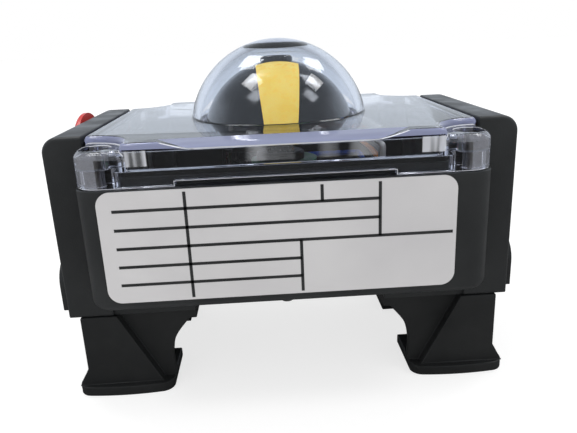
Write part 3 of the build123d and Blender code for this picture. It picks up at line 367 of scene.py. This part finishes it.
def band_yellow():
    """Warm yellow moulding with faint flow marks, and a painted glow that lights it up under the clear
    dome.
    """
    finish = Finish("indicator_band_yellow", (0.93, 0.66, 0.10), 0.3)
    cloud = finish.span(finish.noise(4.0, 3.0), 0.0, 1.0, 0.35, 0.7)
    finish.colour(finish.blend(cloud, (0.92, 0.63, 0.08), (0.96, 0.73, 0.17)))
    finish.rough(finish.span(finish.noise(1.6, 3.0), 0.2, 0.38))
    finish.bump(finish.noise(0.8, 2.0), 0.015)
    # painted light: the band glows of itself so it looks lit under the clear dome
    finish.set("Emission Color", (1.0, 0.70, 0.12, 1.0))
    finish.set("Emission Strength", 0.44)
    return finish.material


def label_film():
    """Pale grey printed film."""
    finish = Finish("label_film", (0.63, 0.62, 0.625), 0.4)
    cloud = finish.span(finish.noise(24.0, 3.0), 0.0, 1.0, 0.3, 0.7)
    finish.colour(finish.blend(cloud, (0.59, 0.58, 0.59), (0.67, 0.66, 0.665)))
    finish.rough(finish.span(finish.noise(5.0, 4.0), 0.34, 0.5))
    finish.bump(finish.noise(1.1, 2.0), 0.004)
    return finish.material


def wrapped(name, tone, light):
    """Soft plastic with a slight sheen, for wires, cams and small mouldings."""
    return moulded(name, tone, light, 0.32, 0.5, 0.5, 0.01, 0.5)


housing_black = moulded("housing_satin_black", (0.021, 0.0225, 0.0235), (0.031, 0.033, 0.034),
                        0.32, 0.46, 0.35, 0.02, 0.36)
foot_black = moulded("foot_satin_black", (0.016, 0.017, 0.0175), (0.025, 0.026, 0.0265),
                     0.36, 0.52, 0.35, 0.02, 0.22)
inner_black = moulded("inner_black", (0.016, 0.016, 0.017), (0.028, 0.028, 0.029),
                      0.4, 0.55, 0.5, 0.01, 0.35)
gasket_rubber = moulded("gasket_rubber", (0.010, 0.010, 0.010), (0.018, 0.018, 0.018),
                        0.55, 0.75, 0.4, 0.01, 0.3)
rules_ink = moulded("label_ink", (0.020, 0.021, 0.022), (0.032, 0.033, 0.034),
                    0.4, 0.55, 0.4, 0.004, 0.4)
plug_red = moulded("plug_red", (0.50, 0.012, 0.010), (0.62, 0.028, 0.020),
                   0.3, 0.46, 0.5, 0.015, 0.5)
cam_red = wrapped("cam_red", (0.42, 0.035, 0.02), (0.52, 0.06, 0.035))
cam_green = wrapped("cam_green", (0.025, 0.22, 0.07), (0.05, 0.30, 0.10))
nylon = wrapped("natural_nylon", (0.62, 0.60, 0.52), (0.70, 0.68, 0.60))
terminal_grey = wrapped("terminal_grey", (0.20, 0.21, 0.215), (0.27, 0.28, 0.285))
switch_black = wrapped("switch_case_black", (0.018, 0.018, 0.02), (0.035, 0.035, 0.037))
wire_sheath = wrapped("wire_sheath", (0.55, 0.53, 0.48), (0.68, 0.66, 0.6))
steel = turned("zinc_steel", (0.60, 0.60, 0.61), (0.42, 0.41, 0.40), 0.3)
stainless = turned("stainless_steel", (0.62, 0.62, 0.62), (0.48, 0.48, 0.48), 0.22)
screw_steel = turned("dull_screw_steel", (0.50, 0.455, 0.41), (0.22, 0.19, 0.165), 0.3)
brass = turned("brass", (0.72, 0.52, 0.25), (0.50, 0.34, 0.15), 0.3)
clear_plastic = clear_moulding()
gloss_black = black_dome_gloss()
yellow = band_yellow()
film = label_film()

# ---------------------------------------------------------------- finish every CAD piece
FINISHES = {
    "housing": housing_black,
    "foot_front_left": foot_black,
    "foot_front_right": foot_black,
    "foot_rear_left": foot_black,
    "foot_rear_right": foot_black,
    "foot_screws": steel,
    "label_plate": film,
    "clear_cover": clear_plastic,
    "cover_screws": screw_steel,
    "cover_washers": steel,
    "cover_inserts": brass,
    "cover_gasket": gasket_rubber,
    "dust_plug": plug_red,
    "drive_shaft": stainless,
    "shaft_circlip": steel,
    "shaft_bush": brass,
    "shaft_seal": gasket_rubber,
    "thrust_washer": nylon,
    "cam_lower": cam_red,
    "cam_upper": cam_green,
    "cam_spacer": inner_black,
    "cam_top_ring": inner_black,
    "cam_set_screws": steel,
    "switch_lower": switch_black,
    "switch_upper": switch_black,
    "lever_lower": stainless,
    "lever_upper": stainless,
    "plunger_lower": cam_red,
    "plunger_upper": cam_red,
    "switch_spacer": nylon,
    "switch_screws": steel,
    "switch_nuts": steel,
    "switch_bracket": steel,
    "bracket_posts": steel,
    "bracket_screws": steel,
    "terminal_block": terminal_grey,
    "terminal_screws": steel,
    "block_screws": steel,
    "switch_wires": wire_sheath,
    "indicator_dome": gloss_black,
    "indicator_band": yellow,
    "indicator_screw": gloss_black,
}
BODY_OF = {}
for body, members in frame["record"]["behaviour"]["bodies"].items():
    for node in members:
        BODY_OF[node] = body
SLOT_OF = {row["node"]: row["material_slot"] for row in frame["record"]["subparts"]}
SOFT_EDGES = {"housing": 0.22, "clear_cover": 0.16, "foot_front_left": 0.22, "foot_front_right": 0.22,
              "foot_rear_left": 0.22, "foot_rear_right": 0.22}
for node, material in FINISHES.items():
    piece = merged_copy(node)
    if node in SOFT_EDGES:
        soften_edges(piece, SOFT_EDGES[node])
    if node == "clear_cover":
        mark_cover_edges(piece)
    dress(piece, node + "_finished", material, BODY_OF[node], SLOT_OF[node], node)
    NODES[node].data.materials.clear()
    NODES[node].data.materials.append(material)

# ---------------------------------------------------------------- wires, one colour each
WIRE_COLOURS = {"brown": (0.16, 0.06, 0.025), "black": (0.02, 0.02, 0.022), "blue": (0.03, 0.10, 0.45),
                "orange": (0.80, 0.24, 0.02), "grey": (0.30, 0.31, 0.32), "white": (0.74, 0.73, 0.70)}
WIRE_CLOUDING = 1.2


def highest_point(strand):
    """Height of a wire's top, by which the wires are told apart."""
    return max(vertex.co.z for vertex in strand.data.vertices)


def colour_wires():
    """Gives each separate wire of the bundle its own sheath colour."""
    wires = bpy.data.objects["switch_wires_finished"]
    wires.data.materials.clear()
    for name, tone in WIRE_COLOURS.items():
        light = tuple(min(1.0, WIRE_CLOUDING * part) for part in tone)
        wires.data.materials.append(wrapped("wire_" + name, tone, light))
    pick(wires)
    bpy.ops.mesh.separate(type="LOOSE")
    strands = sorted(bpy.context.selected_objects, key=highest_point)
    for number, strand in enumerate(strands):
        for face in strand.data.polygons:
            face.material_index = number % len(WIRE_COLOURS)
    pick(*strands)
    bpy.ops.object.join()
    bpy.context.active_object.name = "switch_wires_finished"


colour_wires()

# ---------------------------------------------------------------- label rules
RULE = 0.62 * MM
INK = 0.03 * MM
ROWS = 6
RULE_END_GAP = 0.5 * MM
LEFT_MARGIN = 2.9 * MM
RIGHT_MARGIN = 0.7 * MM
HEADER_COLUMN = 17.1 * MM
BADGE_COLUMN = 39.4 * MM
GRADE_COLUMN = 43.8 * MM
BLOCK_COLUMN = 55.2 * MM
label_low, label_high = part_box("label_plate")


def printed_rule(x0, x1, z0, z1):
    """One raised line of ink on the label's face."""
    clear_selection()
    bpy.ops.mesh.primitive_plane_add(size=1.0, location=((x0 + x1) / 2, label_low.y, (z0 + z1) / 2),
                                     rotation=(math.pi / 2, 0, 0))
    line = bpy.context.active_object
    line.scale = (x1 - x0, z1 - z0, 1)
    settle(line)
    bpy.ops.object.mode_set(mode="EDIT")
    bpy.ops.mesh.select_all(action="SELECT")
    bpy.ops.mesh.extrude_region_move(TRANSFORM_OT_translate={"value": (0, -INK, 0)})
    bpy.ops.mesh.select_all(action="SELECT")
    bpy.ops.mesh.normals_make_consistent(inside=False)
    bpy.ops.object.mode_set(mode="OBJECT")
    return line


def rule_label():
    """Boxes of the bare label: five rules across and four upright ones."""
    row_height = (label_high.z - label_low.z) / ROWS
    rows = [label_high.z - row_height * i for i in range(ROWS + 1)]
    top = rows[0] - RULE_END_GAP
    foot = rows[ROWS] + RULE_END_GAP
    left = label_low.x + LEFT_MARGIN
    right = label_high.x - RIGHT_MARGIN
    header = label_low.x + HEADER_COLUMN
    badge = label_low.x + BADGE_COLUMN
    grade = label_low.x + GRADE_COLUMN
    block = label_low.x + BLOCK_COLUMN
    across = [(left, block, rows[1]), (left, block, rows[2]), (left, right, rows[3]),
              (left, badge, rows[4]), (left, badge, rows[5])]
    upright = [(header, foot, top), (grade, rows[1], top), (block, rows[3], top), (badge, foot, rows[3])]
    lines = [printed_rule(x0, x1, z - RULE / 2, z + RULE / 2) for x0, x1, z in across]
    lines += [printed_rule(x - RULE / 2, x + RULE / 2, z0, z1) for x, z0, z1 in upright]
    pick(*lines)
    bpy.ops.object.join()
    dress(bpy.context.active_object, "label_rules", rules_ink, "box", "black_plastic")


rule_label()

# ---------------------------------------------------------------- floor, light and camera
WHITE = (1.0, 1.0, 1.0, 1.0)
COOL = (0.84, 0.91, 1.0, 1.0)
LIGHTING_LEVEL = 0.74
BACKDROP_LEVEL = 0.93
CEILING_LEVEL = 0.46
DIM_ABOVE = ("Z", 0.3, 0.6)
DIM_IN_FRONT = ("Y", 0.1, -0.35)
FLOOR_SIZE = 6.0
FLOOR_SEEN = (0.4, 0.4, 0.4, 1.0)
FLOOR_GLOW = 0.72
FLOOR_MIRRORED = (0.15, 0.15, 0.15, 1.0)
LAMP_SIZE = 0.34
LAMP_WATTS = 2.3
LAMP_TARGET = (0.0, 0.0, 0.055)
LAMPS = {"ceiling_left_back": (-0.41, 0.44, 1.1), "ceiling_left_front": (-0.53, -0.23, 1.1),
         "ceiling_right_back": (0.68, 0.48, 1.1), "ceiling_right_front": (0.85, -0.15, 1.1)}
LENS = 36.19
SENSOR = 36.0
CLIP_NEAR = 0.005
CLIP_FAR = 20.0
CAMERA_PLACE = (-0.00373, -0.14484, 0.07881)
YAW = math.radians(1.99)
PITCH = math.radians(17.4)
ROLL = math.radians(-2.54)


def world_math(tree, operation, first, second):
    """One arithmetic step between two outputs, or an output and a number."""
    step = tree.nodes.new("ShaderNodeMath")
    step.operation = operation
    tree.links.new(first, step.inputs[0])
    if isinstance(second, float):
        step.inputs[1].default_value = second
    else:
        tree.links.new(second, step.inputs[1])
    return step.outputs[0]


def level_between(tree, share, low, high):
    """A level that runs from low to high as the share runs from 0 to 1."""
    level = tree.nodes.new("ShaderNodeMapRange")
    for socket, value in (("To Min", low), ("To Max", high)):
        if isinstance(value, float):
            level.inputs[socket].default_value = value
        else:
            tree.links.new(value, level.inputs[socket])
    tree.links.new(share, level.inputs["Value"])
    return level.outputs["Result"]


def soft_step(tree, value, start, stop):
    """0 at the start, 1 at the stop, with soft ends."""
    fade = tree.nodes.new("ShaderNodeMapRange")
    fade.interpolation_type = "SMOOTHSTEP"
    fade.inputs["From Min"].default_value = start
    fade.inputs["From Max"].default_value = stop
    tree.links.new(value, fade.inputs["Value"])
    return fade.outputs["Result"]


def studio_sky():
    """White to look at, plain for lighting, and a dimmer ceiling in the reflections."""
    world = bpy.data.worlds.new("studio")
    bpy.context.scene.world = world
    world.use_nodes = True
    tree = world.node_tree
    sky = tree.nodes["Background"]
    direction = tree.nodes.new("ShaderNodeTexCoord").outputs["Generated"]
    axes = tree.nodes.new("ShaderNodeSeparateXYZ")
    tree.links.new(direction, axes.inputs[0])
    above, in_front = [soft_step(tree, axes.outputs[axis], start, stop)
                       for axis, start, stop in (DIM_ABOVE, DIM_IN_FRONT)]
    dim = world_math(tree, "MAXIMUM", above, in_front)
    around = level_between(tree, dim, BACKDROP_LEVEL, CEILING_LEVEL)
    path = tree.nodes.new("ShaderNodeLightPath").outputs
    lit = world_math(tree, "MINIMUM", path["Diffuse Depth"], 1.0)
    indirect = level_between(tree, lit, around, LIGHTING_LEVEL)
    strength = level_between(tree, path["Is Camera Ray"], indirect, 1.0)
    tree.links.new(strength, sky.inputs["Strength"])
    plain = world_math(tree, "MAXIMUM", path["Is Camera Ray"], lit)
    tinted_light = tree.nodes.new("ShaderNodeMix")
    tinted_light.data_type = "RGBA"
    tinted_light.inputs[6].default_value = COOL
    tinted_light.inputs[7].default_value = WHITE
    tree.links.new(plain, tinted_light.inputs["Factor"])
    tree.links.new(tinted_light.outputs[2], sky.inputs["Color"])


def diffuse_of(finish, colour):
    """A plain matt shader."""
    shader = finish.add("ShaderNodeBsdfDiffuse")
    shader.inputs["Color"].default_value = colour
    return shader.outputs[0]


def mixed(finish, share, first, second):
    """One shader or the other."""
    mix = finish.add("ShaderNodeMixShader")
    for socket, source in zip(mix.inputs, (share, first, second)):
        finish.join(source, socket)
    return mix.outputs[0]


def white_floor():
    """A pale floor that looks white, keeps the shadow, and is darker where it is mirrored."""
    clear_selection()
    bpy.ops.mesh.primitive_plane_add(size=FLOOR_SIZE, location=(0, 0, 0))
    floor = bpy.context.active_object
    floor.name = "floor"
    settle(floor)
    paper = Finish("pale_floor", (0.82, 0.82, 0.82), 0.9, specular=0.0)
    paper.colour(paper.blend(paper.noise(300.0), (0.81, 0.81, 0.81), (0.83, 0.83, 0.83)))
    glow = paper.add("ShaderNodeEmission")
    glow.inputs["Strength"].default_value = FLOOR_GLOW
    bright = paper.add("ShaderNodeAddShader")
    paper.join(diffuse_of(paper, FLOOR_SEEN), bright.inputs[0])
    paper.join(glow.outputs[0], bright.inputs[1])
    path = paper.add("ShaderNodeLightPath").outputs
    in_mirror = paper.combine("MINIMUM", path["Glossy Depth"], 1.0)
    after_matt = paper.combine("MINIMUM", path["Diffuse Depth"], 1.0)
    looked_at = mixed(paper, in_mirror, bright.outputs[0], diffuse_of(paper, FLOOR_MIRRORED))
    lighting = mixed(paper, after_matt, looked_at, paper.shader.outputs[0])
    paper.join(lighting, paper.output.inputs["Surface"])
    floor.data.materials.append(paper.material)


def lamp(name, place):
    """A plain square soft lamp pointed at the dome."""
    data = bpy.data.lights.new(name, "AREA")
    data.shape = "SQUARE"
    data.size = LAMP_SIZE
    data.energy = LAMP_WATTS
    obj = bpy.data.objects.new(name, data)
    bpy.context.scene.collection.objects.link(obj)
    obj.location = place
    obj.rotation_euler = (Vector(LAMP_TARGET) - Vector(place)).to_track_quat("-Z", "Y").to_euler()


def set_camera():
    """The front view, slightly from above."""
    data = bpy.data.cameras.new("camera")
    data.lens = LENS
    data.sensor_width = SENSOR
    data.clip_start = CLIP_NEAR
    data.clip_end = CLIP_FAR
    camera = bpy.data.objects.new("camera", data)
    bpy.context.scene.collection.objects.link(camera)
    heading = Matrix.Rotation(-YAW, 4, "Z") @ Matrix.Rotation(math.pi / 2 - PITCH, 4, "X")
    turn = heading @ Matrix.Rotation(ROLL, 4, "Z")
    camera.matrix_world = Matrix.Translation(CAMERA_PLACE) @ turn
    bpy.context.scene.camera = camera


studio_sky()
white_floor()
for name, place in LAMPS.items():
    lamp(name, place)
set_camera()
bpy.context.scene.view_settings.view_transform = "Standard"
